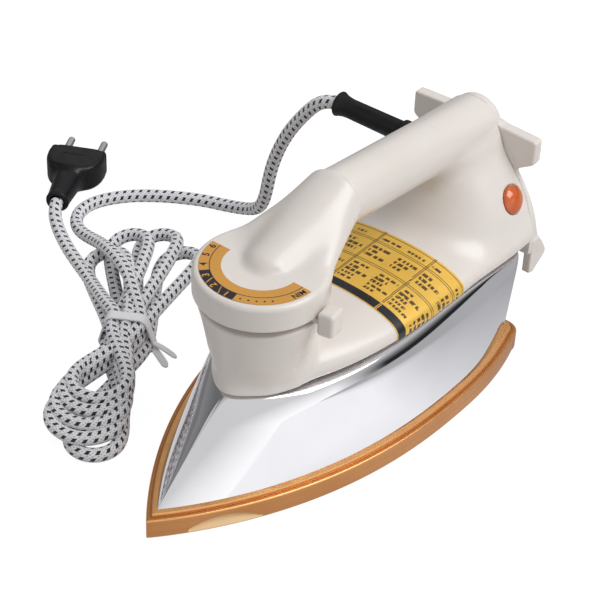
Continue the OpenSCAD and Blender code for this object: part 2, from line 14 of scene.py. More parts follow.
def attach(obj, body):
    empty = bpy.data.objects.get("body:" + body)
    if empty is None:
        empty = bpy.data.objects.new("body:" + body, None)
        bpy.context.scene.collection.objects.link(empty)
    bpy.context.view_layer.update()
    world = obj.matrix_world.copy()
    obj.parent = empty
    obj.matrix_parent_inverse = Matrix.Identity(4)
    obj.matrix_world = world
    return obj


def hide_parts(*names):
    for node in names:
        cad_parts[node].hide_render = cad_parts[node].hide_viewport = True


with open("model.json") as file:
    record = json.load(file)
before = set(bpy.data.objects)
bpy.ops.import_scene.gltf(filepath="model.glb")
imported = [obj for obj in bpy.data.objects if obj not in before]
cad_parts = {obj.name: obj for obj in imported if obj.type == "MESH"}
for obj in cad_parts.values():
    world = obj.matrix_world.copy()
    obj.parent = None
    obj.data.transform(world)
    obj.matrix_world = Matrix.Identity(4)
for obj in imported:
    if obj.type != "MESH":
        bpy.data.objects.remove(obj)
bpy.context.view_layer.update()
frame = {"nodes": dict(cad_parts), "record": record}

MM = 0.001


def at(place, angle=0.0, axis="Z"):
    """A turn in degrees about one axis, then a move."""
    return Matrix.Translation(place) @ Matrix.Rotation(math.radians(angle), 4, axis)


DIAL_Y, DIAL_Z = -51.5, 109.5  # the dial's axis and its top
SEAM_Y, SEAM_GAP, REAR_Y = 0.0, 0.4, 113.0  # the joint of cap and grip, and the start of the rear cover
GRIP_R, GRIP_Z, GRIP_FALL = 14.0, 118.2, math.radians(6.5)  # its axis has this height at y = 0 and falls back
SKIRT_LOW, ARCH_Z, ARCH_RISE = 52.4, 55.4, 11.2  # the skirt's lower edge, and its arch's springing and rise
SOLE_TIP, SOLE_WIDE, SOLE_HEEL = -129.2, 37.0, 98.0  # the sole's nose, widest place and heel along Y
COVER_LOW, COVER_TOP = 12.8, 51.0
LEVER_TURN = 6.6
CORD_R, CORD_LOW, PITCH = 3.5, 3.6, 4.4  # radius, height of its middle on the floor, step of its pattern
SLEEVE_Y, SLEEVE_Z = 78.5, 107.5
PLUG_FACE, PLUG_TURN, PLUG_HALF = (-223.0, 64.5, 8.5), 27.0, 15.9
LENS_R = 7.2
LENS_PLACE = at((32.2, 103.8, 77.8), 65, "Y")


# ---- Camera and lights ----

def add_object(name, data):
    obj = bpy.data.objects.new(name, data)
    bpy.context.scene.collection.objects.link(obj)
    return obj


def add_camera():
    azimuth, elevation, roll = (math.radians(a) for a in (36.9, 38.02, 2.6))
    target = Vector((-2.52, -19.22, 70.04))
    back = Vector((math.sin(azimuth) * math.cos(elevation), -math.cos(azimuth) * math.cos(elevation),
                   math.sin(elevation)))
    level = Vector((math.cos(azimuth), math.sin(azimuth), 0))
    rise = back.cross(level)
    right = level * math.cos(roll) + rise * math.sin(roll)
    up = rise * math.cos(roll) - level * math.sin(roll)
    camera = add_object("camera", bpy.data.cameras.new("camera"))
    turned = Matrix((right, up, back)).transposed().to_4x4()
    camera.matrix_world = Matrix.Translation((target + back * 936.7) * MM) @ turned
    camera.data.sensor_width = 36
    camera.data.lens = 121.608
    camera.data.clip_start, camera.data.clip_end = 0.05, 30
    bpy.context.scene.camera = camera


def add_area(name, place, size, power):
    """A square light aimed at the iron; places and sizes are in metres."""
    light = bpy.data.lights.new(name, "AREA")
    light.shape, light.size, light.energy = "SQUARE", size, power
    obj = add_object(name, light)
    obj.location = place
    obj.rotation_euler = (Vector((0, 0, 0.05)) - Vector(place)).to_track_quat("-Z", "Y").to_euler()


# ---- Materials ----

def linear(code):
    values = [int(code[i:i + 2], 16) / 255 for i in (1, 3, 5)]
    return tuple(v / 12.92 if v <= 0.04045 else ((v + 0.055) / 1.055) ** 2.4 for v in values)


class Graph:
    """A node tree, with short names for the steps that its pattern is built from."""

    def __init__(self, tree):
        self.tree = tree
        tree.nodes.clear()

    def add(self, kind, **settings):
        node = self.tree.nodes.new(kind)
        for key, value in settings.items():
            setattr(node, key, value)
        return node

    def join(self, value, socket):
        if isinstance(value, bpy.types.NodeSocket):
            self.tree.links.new(value, socket)
        else:
            socket.default_value = value

    def feed(self, node, *values):
        """Fills a node's inputs in order and gives its first output."""
        for value, socket in zip(values, node.inputs):
            self.join(value, socket)
        return node.outputs[0]

    def math(self, operation, *values):
        return self.feed(self.add("ShaderNodeMath", operation=operation), *values)

    def blend(self, amount, first, second):
        node = self.add("ShaderNodeMix", data_type="RGBA")
        for value, socket in ((amount, node.inputs[0]), (first, node.inputs[6]), (second, node.inputs[7])):
            self.join((*value, 1) if isinstance(value, tuple) else value, socket)
        return node.outputs[2]

    def span(self, value, low, high, new_low=0.0, new_high=1.0):
        return self.feed(self.add("ShaderNodeMapRange"), value, low, high, new_low, new_high)

    def parts(self, vector):
        node = self.add("ShaderNodeSeparateXYZ")
        self.join(vector, node.inputs[0])
        return node.outputs[:3]

    def glow(self, color, strength=1.0):
        return self.feed(self.add("ShaderNodeEmission"), color, strength)

    def mixed(self, amount, first, second):
        return self.feed(self.add("ShaderNodeMixShader"), amount, first, second)


class Shader(Graph):
    """One material's nodes."""

    def __init__(self, name):
        self.material = bpy.data.materials.new(name)
        self.material.use_nodes = True
        super().__init__(self.material.node_tree)
        self.out = self.add("ShaderNodeOutputMaterial")
        self.bsdf = self.add("ShaderNodeBsdfPrincipled")
        self.join(self.bsdf.outputs[0], self.out.inputs[0])
        coordinates = self.add("ShaderNodeTexCoord")
        self.place, self.uv = coordinates.outputs["Object"], coordinates.outputs["UV"]

    def stretched(self, scale):
        node = self.add("ShaderNodeMapping")
        self.join(self.place, node.inputs["Vector"])
        node.inputs["Scale"].default_value = scale
        return node.outputs[0]

    def noise(self, scale, detail=3.0, stretch=None):
        node = self.add("ShaderNodeTexNoise")
        self.join(self.stretched(stretch) if stretch else self.place, node.inputs["Vector"])
        node.inputs["Scale"].default_value = scale
        node.inputs["Detail"].default_value = detail
        return node.outputs["Fac"]

    def bump(self, height, strength, distance, under=None):
        node = self.add("ShaderNodeBump")
        node.inputs["Strength"].default_value = strength
        node.inputs["Distance"].default_value = distance * MM
        self.join(height, node.inputs["Height"])
        if under is not None:
            self.join(under, node.inputs["Normal"])
        return node.outputs[0]

    def finish(self, color, roughness, normal, **fixed):
        self.join(color, self.bsdf.inputs["Base Color"])
        self.join(roughness, self.bsdf.inputs["Roughness"])
        self.join(normal, self.bsdf.inputs["Normal"])
        for key, value in fixed.items():
            self.bsdf.inputs[key.replace("_", " ").title().replace("Ior", "IOR")].default_value = value
        return self.material


def surface(name, color, darker=0.9, rough=0.4, rough_range=0.08, patch=30.0, grain=900.0, relief=0.02,
            stretch=None, **fixed):
    """A material with slow changes of tone, uneven gloss and a fine grain; color is a #rrggbb code."""
    s = Shader(name)
    light = linear(color)
    dark = tuple(c * darker for c in light)
    fine = s.noise(grain, 4.0, stretch)
    tone = s.math("ADD", s.math("MULTIPLY", s.noise(patch, 4.0), 0.7), s.math("MULTIPLY", fine, 0.3))
    tint = s.blend(s.span(tone, 0.35, 0.65), dark, light)
    gloss = s.span(s.noise(patch * 3.1, 5.0), 0.3, 0.7, rough - rough_range, rough + rough_range)
    return s.finish(tint, gloss, s.bump(fine, 0.6, relief), **fixed)


def cream_material():
    s = Shader("cream_plastic")
    fine = s.noise(2600)
    tint = s.blend(s.span(s.noise(14, 2.0), 0.3, 0.7), linear("#dcd5cf"), linear("#e3ddd8"))
    tint = s.blend(s.math("MULTIPLY", s.span(fine, 0.55, 0.8), 0.12), tint, linear("#cfc4bc"))
    gloss = s.span(s.noise(60, 5.0), 0.3, 0.7, 0.27, 0.34)
    return s.finish(tint, gloss, s.bump(fine, 0.2, 0.008), coat_weight=0.25, coat_roughness=0.22,
                    subsurface_weight=0.12, subsurface_scale=0.003)


def chrome_material():
    s = Shader("chrome")
    tint = s.blend(s.noise(22, 5.0), linear("#e2e2e5"), linear("#f6f6f8"))
    gloss = s.span(s.noise(70, 6.0), 0.35, 0.75, 0.035, 0.10)
    normal = s.bump(s.noise(1800, 2.0), 0.1, 0.004)
    return s.finish(tint, gloss, normal, metallic=1.0)


def sole_material():
    """Copper-coloured anodised casting with long, faint machining lines."""
    s = Shader("sole_gold")
    lines = s.noise(70, 5.0, (0.06, 0.06, 22.0))
    fine = s.noise(1500, 4.0)
    tint = s.blend(s.span(s.noise(18), 0.3, 0.7), linear("#bd7f48"), linear("#cc9058"))
    tint = s.blend(s.math("MULTIPLY", s.span(lines, 0.5, 0.75), 0.3), tint, linear("#a56a36"))
    gloss = s.span(lines, 0.3, 0.7, 0.30, 0.44)
    return s.finish(tint, gloss, s.bump(fine, 0.3, 0.012, s.bump(lines, 0.3, 0.03)), metallic=0.72)


def braid_material():
    """White braid with black flecks in six columns; u runs round the cord and v along it in pitches."""
    s = Shader("braid")
    u, v = s.parts(s.uv)[:2]
    column = s.math("MULTIPLY", u, 6.0)
    odd = s.math("MULTIPLY", s.math("MODULO", s.math("FLOOR", column), 2.0), 0.5)
    across = s.math("MULTIPLY", s.math("SUBTRACT", s.math("FRACT", column), 0.5), 3.67)
    along = s.math("MULTIPLY", s.math("SUBTRACT", s.math("FRACT", s.math("ADD", v, odd)), 0.5), PITCH)
    side = s.math("ABSOLUTE", across)
    slanted = s.math("ABSOLUTE", s.math("ADD", along, s.math("MULTIPLY", across, 0.5)))
    fleck = s.math("MULTIPLY", s.math("LESS_THAN", side, 1.05), s.math("LESS_THAN", slanted, 0.86))
    ways = []
    for sign in (1.0, -1.0):
        turn = s.math("ADD", s.math("MULTIPLY", u, 12.0 * sign), s.math("MULTIPLY", v, 2.0))
        ways.append(s.math("ABSOLUTE", s.math("SINE", s.math("MULTIPLY", turn, math.pi))))
    yarn = s.math("MAXIMUM", ways[0], ways[1])
    strands = s.noise(2400)
    # Darker grey between the woven strands: painted shade in the hollows of the weave.
    white = s.blend(s.span(yarn, 0.45, 1.0), linear("#bdbdc4"), linear("#eeeef1"))
    white = s.blend(s.math("MULTIPLY", strands, 0.2), white, linear("#d3d3d8"))
    tint = s.blend(fleck, white, linear("#17171b"))
    height = s.math("ADD", yarn, s.math("MULTIPLY", strands, 0.3))
    return s.finish(tint, 0.78, s.bump(height, 0.7, 0.25), sheen_weight=0.3, sheen_roughness=0.5)


def lens_material():
    s = Shader("lamp_orange")
    tone = s.noise(500)
    tint = s.blend(tone, linear("#ff7424"), linear("#ffa04c"))
    return s.finish(tint, s.span(tone, 0.3, 0.7, 0.03, 0.08), s.bump(s.noise(700, 2.0), 0.25, 0.08),
                    transmission_weight=0.6, IOR=1.49, coat_weight=0.6, coat_roughness=0.03)


def all_materials():
    made = {"cream_plastic": cream_material(), "chrome": chrome_material(), "sole_gold": sole_material(),
            "braid": braid_material(), "lamp_orange": lens_material()}
    for name, settings in {
        # Lighter gold for the raised rim, also laid on the wall's top bevel as a painted highlight line.
        "sole_rim": dict(color="#eeb273", darker=0.94, rough=0.27, patch=40, grain=1200, relief=0.006,
                         metallic=0.75),
        # Lighter, non-metal gold for the button groove's up-facing facet: a painted highlight on the same gold
        # casting.
        "sole_facet_highlight": dict(color="#ffd8a2", darker=0.94, patch=60, relief=0.01),
        "mica": dict(color="#b79b6a", darker=0.7, rough=0.3, grain=300, relief=0.05),
        "heater_ribbon": dict(color="#8f8d88", darker=0.7, rough=0.35, grain=1600, metallic=0.9),
        "terminal_brass": dict(color="#c9a24e", darker=0.75, rough=0.3, grain=1500, metallic=1.0),
        "cast_iron": dict(color="#4b4b4d", darker=0.6, rough=0.7, grain=1100, relief=0.12, metallic=0.6),
        "zinc_steel": dict(color="#b9bcc0", darker=0.75, rough=0.28, grain=1800, metallic=1.0),
        "dial_print": dict(color="#d59a45", darker=0.93, rough=0.34, grain=1500, relief=0.01, metallic=0.15),
        "foil_label": dict(color="#f4c556", rough=0.33, patch=45, grain=1300, relief=0.01, metallic=0.25),
        "label_black": dict(color="#1f2029", darker=0.7, rough=0.35, grain=1500, relief=0.01),
        "label_print": dict(color="#5b4322", darker=0.8, rough=0.42, grain=1500, relief=0.01),
        "neon_glass": dict(color="#ff9a55", darker=0.8, rough=0.08, transmission_weight=0.6),
        "resistor_tan": dict(color="#c8a878", darker=0.8, rough=0.5),
        "porcelain": dict(color="#e9e6dd", rough=0.22, coat_weight=0.4),
        "clamp_white": dict(color="#dedcd6", rough=0.45),
        "black_rubber": dict(color="#1b1b1d", darker=0.7, rough=0.46, rough_range=0.1, patch=90, grain=1700,
                             relief=0.04, specular_ior_level=0.25),
        "plug_black": dict(color="#17171a", darker=0.7, rough=0.36, rough_range=0.1, patch=80, grain=1500,
                           relief=0.03, specular_ior_level=0.25, coat_weight=0.15),
        "wire_brown": dict(color="#6d3f22", darker=0.8),
        "wire_blue": dict(color="#2f5fa8", darker=0.8),
        "wire_green": dict(color="#7d9a35", darker=0.7, patch=160),
        "wire_white": dict(color="#dcd8cc", darker=0.85, rough=0.6, grain=1800, relief=0.08),
        "bimetal": dict(color="#b98a5a", darker=0.75, rough=0.35, metallic=1.0, stretch=(1, 0.1, 1)),
        "silver": dict(color="#d9d9dc", darker=0.8, rough=0.25, metallic=1.0),
        "tie_white": dict(color="#eeeef0", rough=0.42, grain=1400, relief=0.05),
        "pin_metal": dict(color="#dfe0e2", darker=0.85, rough=0.22, grain=1500, metallic=1.0),
        "lamp_well": dict(color="#ff7a2c", darker=0.75, rough=0.3, patch=300, relief=0.05),
    }.items():
        made[name] = surface(name, **settings)
    return made


# ---- Meshes ----

def piece(name, points, faces, material, slot=None, replaces=(), body="iron", normals=None, ids=None, uv=None,
          sharp=None):
    """A mesh from points in millimetres, riding on a body and standing for the CAD nodes it replaces."""
    mesh = bpy.data.meshes.new(name)
    faces = faces.tolist() if isinstance(faces, np.ndarray) else faces
    mesh.from_pydata((np.asarray(points, float) * MM).tolist(), [], faces)
    for m in material if isinstance(material, (list, tuple)) else [material]:
        mesh.materials.append(m)
    if ids is not None:
        mesh.polygons.foreach_set("material_index", np.asarray(ids, np.int32))
    mesh.polygons.foreach_set("use_smooth", [True] * len(mesh.polygons))
    if uv is not None:
        layer = mesh.uv_layers.new(name="along")
        layer.data.foreach_set("uv", np.asarray(uv, np.float32).ravel())
    mesh.update()
    if sharp is not None:
        mesh.set_sharp_from_angle(angle=math.radians(sharp))
    if normals is not None:
        mesh.normals_split_custom_set_from_vertices(np.asarray(normals, float).tolist())
    obj = add_object(name, mesh)
    if body:
        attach(obj, body)
        if replaces:
            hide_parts(*replaces)
    return obj


def loft(rings, closed=False):
    """Points and faces of a skin over rings of equal length, capped at its ends unless it closes on itself."""
    rings = np.asarray(rings, float)
    rows, n = rings.shape[:2]
    faces = []
    for i in range(rows if closed else rows - 1):
        a, b = i * n, (i + 1) % rows * n
        faces += [(a + j, a + (j + 1) % n, b + (j + 1) % n, b + j) for j in range(n)]
    if not closed:
        faces += [tuple(range(n))[::-1], tuple(range((rows - 1) * n, rows * n))]
    return rings.reshape(-1, 3), faces


def lathe(profile, place=Matrix.Identity(4), sides=64, closed=False):
    """A profile of (radius, height) turned round the Z axis of place; it goes up the outside."""
    turn = np.linspace(0, 2 * math.pi, sides, endpoint=False)
    rings = [np.c_[r * np.cos(turn), r * np.sin(turn), np.full(sides, h)] for r, h in profile]
    points, faces = loft(rings, closed)
    return moved(points, place), faces


def moved(points, place):
    m = np.array(place)
    return np.asarray(points) @ m[:3, :3].T + m[:3, 3]


def joined(parts):
    """One set of points and faces from several."""
    faces, count = [], 0
    for p, f in parts:
        faces += [tuple(v + count for v in face) for face in f]
        count += len(p)
    return np.vstack([p for p, _ in parts]), faces


def sheet(upper, under, ink):
    """Points, faces and material numbers of a thin sheet between two grids; ink gives a cell's number."""
    rows, n = upper.shape[:2]
    count = rows * n
    faces, ids = [], []
    for i in range(rows - 1):
        for j in range(n - 1):
            a = i * n + j
            b = a + count
            faces += [(a, a + n, a + n + 1, a + 1), (b, b + 1, b + n + 1, b + n)]
            ids += [ink(i, j), 0]
    rim = [*range(n)] + [i * n + n - 1 for i in range(1, rows)] + [count - 2 - j for j in range(n - 1)]
    rim += [i * n for i in range(rows - 2, 0, -1)]
    for a, b in zip(rim, rim[1:] + rim[:1]):
        faces.append((a, b, b + count, a + count))
        ids.append(0)
    return np.vstack([upper.reshape(-1, 3), under.reshape(-1, 3)]), faces, ids


def distance_along(line):
    return np.r_[0, np.cumsum(np.linalg.norm(np.diff(line, axis=0), axis=1))]


def arc(centre, radius, start, end, steps):
    turn = np.radians(np.linspace(start, end, steps))
    return [(centre[0] + radius * math.cos(t), centre[1] + radius * math.sin(t)) for t in turn]


# ---- Fields: negative inside, about one per millimetre outside ----

def soft_min(a, b, k):
    h = np.maximum(k - np.abs(a - b), 0) / k
    return np.minimum(a, b) - h * h * k / 4


def soft_max(a, b, k):
    return -soft_min(-a, -b, k)


def rounded_box(p, centre, half, r):
    q = [np.abs(v - c) - h + r for v, c, h in zip(p, centre, half)]
    outside = np.sqrt(sum(np.maximum(v, 0) ** 2 for v in q))
    return outside + np.minimum(np.maximum(np.maximum(q[0], q[1]), q[2]), 0) - r


def polygon_field(x, y, corners):
    """Signed distance to a polygon in the plane."""
    inside = np.zeros(x.shape, bool)
    nearest = np.full(x.shape, 1e9)
    for (ax, ay), (bx, by) in zip(corners, corners[1:] + corners[:1]):
        ex, ey = bx - ax, by - ay
        t = np.clip(((x - ax) * ex + (y - ay) * ey) / (ex * ex + ey * ey), 0, 1)
        nearest = np.minimum(nearest, np.hypot(x - ax - t * ex, y - ay - t * ey))
        if ey:
            crosses = (ay > y) != (by > y)
            inside ^= crosses & (x < ax + (y - ay) * ex / ey)
    return np.where(inside, -nearest, nearest)


def slope_of(field, p, step=0.15):
    rows = []
    for k in range(3):
        ahead, behind = list(p), list(p)
        ahead[k], behind[k] = p[k] + step, p[k] - step
        rows.append((field(*ahead) - field(*behind)) / (2 * step))
    return np.array(rows)


def settle(field, points, level=0.0, rounds=3):
    """Moves points along the field's slope onto the surface with that level, and gives its normals there."""
    p = np.asarray(points, float).T.copy()
    for _ in range(rounds):
        slope = slope_of(field, p)
        step = (field(*p) - level) / np.maximum((slope ** 2).sum(0), 0.05)
        p -= np.clip(step, -0.8, 0.8) * slope
    slope = slope_of(field, p, 0.35)
    return p.T, (slope / np.maximum(np.linalg.norm(slope, axis=0), 1e-6)).T


def carve(field, low, high, cell):
    """Points, quads and normals of the surface where a field is zero."""
    low, high = np.array(low, float), np.array(high, float)
    axes = [np.arange(a, b + cell, cell) for a, b in zip(low, high)]
    grid = openvdb.FloatGrid(background=3.0)
    grid.copyFromArray(field(*np.meshgrid(*axes, indexing="ij")).astype(np.float32))
    points, quads = grid.convertToQuads()
    points, normals = settle(field, points * cell + low)
    a, b, c = (points[quads[:, k]] for k in (0, 1, 2))
    facing = (np.cross(b - a, c - a) * normals[quads[:, 0]]).sum(1)
    if np.median(facing) < 0:
        quads = quads[:, ::-1]
    return points, quads, normals


def carved(name, field, low, high, cell, material, place=None, **more):
    points, quads, normals = carve(field, low, high, cell)
    if place is not None:
        points, normals = moved(points, place), moved(normals, place.to_3x3().to_4x4())
    return piece(name, points, quads, material, normals=normals, **more)


# ---- Cord, plug and tie ----

TIE, TIE_TURN = np.array([-98.0, -34.0]), 30.0
HANK_SLOTS = {  # where each run of cord passes under the tie: across, height
    "tail": (-6.6, 15.2), "a_out": (-0.2, 15.4), "lead": (6.2, 15.2),
    "b_out": (-6.9, 9.3), "c_out": (-0.2, 9.5), "d_out": (6.5, 9.3),
    "a_in": (-9.9, CORD_LOW), "b_in": (-3.4, CORD_LOW), "c_in": (3.2, CORD_LOW), "d_in": (9.8, CORD_LOW)}
FOLD_R = 10.5
UPPER_FOLDS = {  # direction from the tie, distance of the fold's centre, height out
    "a": (142.5, 60.5, 10.5), "b": (131.5, 75.5, 10.3), "c": (120.0, 77.5, 10.3), "d": (107.5, 66.0, 10.3)}
LOWER_FOLDS = {  # centre, radius, height on the right, height on the left
    1: ((-73.2, -87.0), 17.0, 12.0, 12.0), 2: ((-60.5, -98.0), 12.5, CORD_LOW, CORD_LOW),
    3: ((-70.8, -92.5), 17.5, 9.5, 8.5), 4: ((-75.5, -81.5), 15.5, 14.0, 14.0),
    5: ((-77.0, -76.5), 14.0, 16.0, 16.5)}
LOWER_TURN = -58.0
LEAD = [(-57.5, SLEEVE_Y, SLEEVE_Z), (-63.5, 78.5, 106.4), (-69.5, 78.5, 102.8), (-75.5, 78.5, 96),
        (-81.5, 78.5, 87.5), (-87, 78.8, 79), (-92.5, 79.5, 68.5), (-97, 80, 57.5), (-100.5, 80.5, 46),
        (-103, 81.2, 34), (-106.5, 83, 23), (-113, 86, 13.5), (-122, 88, 8), (-134, 87.5, 4.5), (-148, 83.5, 3.6),
        (-160, 77, 3.6), (-171.5, 69, 3.6), (-181.5, 60, 3.6), (-189.5, 48.5, 3.6), (-193, 37.5, 3.6),
        (-190.5, 27, 3.6), (-183.5, 19.5, 3.8), (-174.5, 16, 5), (-165, 13.5, 7.5), (-155, 9, 12), (-143, 3.5, 16),
        (-131, -2, 18), (-120, -8, 18), (-109, -16.5, 17)]
TAIL = [(-117, -27.4, 12.6), (-129.6, -19.9, 8.6), (-142, -12.5, 5), (-153.5, -6.5, 3.7), (-169.5, 0.5, 3.6),
        (-180, 6, 3.7), (-190, 11.5, 5), (-198, 17.5, 7.4), (-202.6, 24.4, 8.5)]


def heading(degrees):
    return np.array([math.cos(math.radians(degrees)), math.sin(math.radians(degrees))])


def under_tie(name, downward):
    across, z = HANK_SLOTS[name]
    c, s = heading(TIE_TURN)
    return [(TIE[0] + c * across - s * k, TIE[1] + s * across + c * k, z)
            for k in ((5, -5) if downward else (-5, 5))]


def fold(centre, turn, radius, z_first, z_last):
    """Five points round a fold that opens away from turn degrees, on its own left first."""
    d = heading(turn)
    u = np.array([d[1], -d[0]])
    points = []
    for a in np.radians((-100, -55, 0, 55, 100)):
        p = np.asarray(centre) + radius * (math.cos(a) * d + math.sin(a) * u)
        t = (math.degrees(a) + 100) / 200
        points.append((p[0], p[1], z_first + (z_last - z_first) * t))
    return points


def upper(name):
    turn, far, z_out = UPPER_FOLDS[name]
    return fold(TIE + far * heading(turn), turn, FOLD_R, CORD_LOW, z_out)


def lower(number):
    centre, radius, z_right, z_left = LOWER_FOLDS[number]
    return fold(centre, LOWER_TURN, radius, z_left, z_right)[::-1]


def cord_route():
    p = list(LEAD) + under_tie("lead", True) + lower(1) + under_tie("b_out", False)
    p += upper("b")[::-1] + under_tie("b_in", True) + lower(2)[::-1] + under_tie("d_in", False)
    p += upper("d") + under_tie("d_out", True) + lower(3) + under_tie("a_in", False)
    p += upper("a") + under_tie("a_out", True) + lower(4)[::-1] + under_tie("c_in", False)
    p += upper("c") + under_tie("c_out", True) + lower(5) + under_tie("tail", False)
    return np.array(p + TAIL, float)


def smooth_line(p, step=1.2, passes=30):
    """A smooth line through points, evenly stepped, with its bends eased."""
    out = []
    last = len(p) - 1
    for i in range(last):
        b, c = p[i], p[i + 1]
        a, d = p[max(i - 1, 0)], p[min(i + 2, last)]
        k1 = np.linalg.norm(c - b) ** 0.5
        k0 = np.linalg.norm(b - a) ** 0.5 if i else k1
        k2 = np.linalg.norm(d - c) ** 0.5 if i + 2 <= last else k1
        m1 = (c - b) + k1 * ((b - a) / k0 - (c - a) / (k0 + k1)) if i else c - b
        m2 = (c - b) + k1 * ((d - c) / k2 - (d - b) / (k1 + k2)) if i + 2 <= last else c - b
        t = np.linspace(0, 1, 24, endpoint=False)[:, None]
        out.append((2 * t**3 - 3 * t**2 + 1) * b + (t**3 - 2 * t**2 + t) * m1 + (3 * t**2 - 2 * t**3) * c
                   + (t**3 - t**2) * m2)
    q = np.vstack(out + [p[-1:]])
    run = distance_along(q)
    even = np.linspace(0, run[-1], int(run[-1] / step) + 1)
    q = np.array([np.interp(even, run, q[:, k]) for k in range(3)]).T
    for _ in range(passes):
        q[1:-1] = 0.25 * q[:-2] + 0.5 * q[1:-1] + 0.25 * q[2:]
    return q


def tube_rings(line, radius, sides):
    """Rings square to a line, turned as little as possible from one to the next."""
    ahead = np.gradient(line, axis=0)
    ahead /= np.linalg.norm(ahead, axis=1)[:, None]
    side = np.cross(ahead[0], (0, 0, 1.0))
    rings = []
    turn = np.linspace(0, 2 * math.pi, sides, endpoint=False)
    for p, d in zip(line, ahead):
        side = side - d * side.dot(d)
        side /= np.linalg.norm(side)
        over = np.cross(d, side)
        rings.append(p + radius * (np.cos(turn)[:, None] * side + np.sin(turn)[:, None] * over))
    return np.array(rings)


def add_cord(mats, extras):
    line = smooth_line(cord_route())
    sides = 24
    points, faces = loft(tube_rings(line, CORD_R, sides))
    run = distance_along(line)
    uv = []
    for i in range(len(line) - 1):
        for j in range(sides):
            for du, dv in ((0, 0), (1, 0), (1, 1), (0, 1)):
                uv.append(((j + du) / sides, run[i + dv] / PITCH))
    uv += [(0.5, 0.02)] * (2 * sides)
    obj = piece("cord", points, faces, mats["braid"], "braid", ("cord_lead", "cord_hank", "cord_tail"), uv=uv)


def plug_field(x, y, z):
    plan = soft_min(rounded_box((x, y, 0 * z), (0, -4.5, 0), (PLUG_HALF, 4.5, 9), 1.6),
                    np.hypot(x, y + 9) - PLUG_HALF, 1.0)
    plan = soft_max(plan, -22 - y, 2.0)
    body = soft_max(soft_max(plan, y, 3.6), np.abs(z) - 8.0, 3.4)
    step = np.maximum(np.abs(y + 4.2) - 0.55, -(plan + 0.55))
    body = soft_max(body, -np.maximum(step, -1), 0.5)
    r = np.hypot(x, z)
    along = np.clip((-20 - y) / 25, 0, 1)
    relief_r = 8.6 - 2.6 * along ** 0.8 + 0.5 * np.clip((along - 0.8) / 0.2, 0, 1) ** 2
    relief = soft_max(soft_max(soft_max(r - relief_r, -45 - y, 1.2), y + 12, 1.0), np.abs(z) - 7.9, 1.5)
    whole = soft_min(body, relief, 4.0)
    return soft_max(whole, -np.maximum(r - 3.75, y + 36), 0.8)


def add_plug(mats):
    place = at(PLUG_FACE, PLUG_TURN)
    body = carved("plug_body_skin", plug_field, (-18.5, -48, -10.5), (18.5, 2.5, 10.5), 0.6, mats["plug_black"],
                  place, slot="plug_black", replaces=("plug_body",))
    profile = [(1.9, -1.0), (2.0, 0.3), (2.0, 15.2)] + arc((1.2, 15.2), 0.8, 0, 80, 5)
    profile += [(0.9, 16.9), (0.2, 17.0)]
    points, faces = joined([lathe(profile, place @ at((x, 0, 0), -90, "X"), 32) for x in (-9.5, 9.5)])
    pins = piece("plug_pins_turned", points, faces, mats["pin_metal"], "pin_metal", ("plug_pins",), sharp=40)
    return [body, pins]


def hull(points):
    """Convex outline of points in the plane, counter-clockwise."""
    points = sorted(set(map(tuple, points)))
    def half(order):
        out = []
        for p in order:
            while len(out) > 1 and ((out[-1][0] - out[-2][0]) * (p[1] - out[-2][1])
                                    - (out[-1][1] - out[-2][1]) * (p[0] - out[-2][0])) <= 0:
                out.pop()
            out.append(p)
        return out[:-1]
    return half(points) + half(points[::-1])


def add_tie(mats):
    """A flat plastic strip pulled round the hank, and its two twisted ends."""
    place = at((*TIE, 0), TIE_TURN)
    turn = np.radians(np.arange(0, 360, 10))
    room = CORD_R + 0.1
    inner = np.array(hull([(u + room * math.cos(t), z + room * math.sin(t))
                           for u, z in HANK_SLOTS.values() for t in turn]))
    inner[:, 1] = np.maximum(inner[:, 1], 0.15)
    run = distance_along(np.vstack([inner, inner[:1]]))
    even = np.linspace(0, run[-1], 120, endpoint=False)
    loop = np.array([np.interp(even, run, np.r_[inner[:, k], inner[0, k]]) for k in (0, 1)]).T
    ahead = np.roll(loop, -1, 0) - np.roll(loop, 1, 0)
    out = np.c_[ahead[:, 1], -ahead[:, 0]] / np.linalg.norm(ahead, axis=1)[:, None]
    half = [(-2.9, 0.1), (-2.9, 0.75), (-2.5, 1.0), (-1.2, 0.85)]
    section = half + [(-y, h) for y, h in half[::-1]]
    rings = []
    for p, n in zip(loop, out):
        rings.append([(p[0] + n[0] * h, y, max(p[1] + n[1] * h, 0.05)) for y, h in section])
    parts = [loft(rings, closed=True)]
    ends = (((13.6, -2.0, 2.2), -50, 14.0, 3.4, 0.5), ((13.8, -1.6, 5.0), -14, 12.5, 2.6, 1.2))
    for start, angle, length, width, bend in ends:
        c, s = heading(angle)
        rings = []
        for t in np.linspace(0, 1, 14):
            lift = start[2] * (1 - t) ** 1.6 + 0.7 + bend * math.sin(math.pi * t)
            tip = min(1.0, (1 - t) * 6 + 0.35)
            tilt = 0.5 * math.sin(2.6 * t)
            x, y = start[0] + c * length * t, start[1] + s * length * t
            ring = []
            for a, b in ((-1, -1), (1, -1), (1, 1), (-1, 1)):
                w, h = a * width / 2 * tip, b * 0.4
                ring.append((x - s * w, y + c * w, max(lift + h + w * tilt * 0.4, 0.05)))
            rings.append(ring)
        parts.append(loft(rings))
    points, faces = joined(parts)
    return piece("hank_tie_strip", moved(points, place), faces, mats["tie_white"], "tie_white", ("hank_tie",),
                 sharp=50)


# ---- Soleplate and chrome cover ----

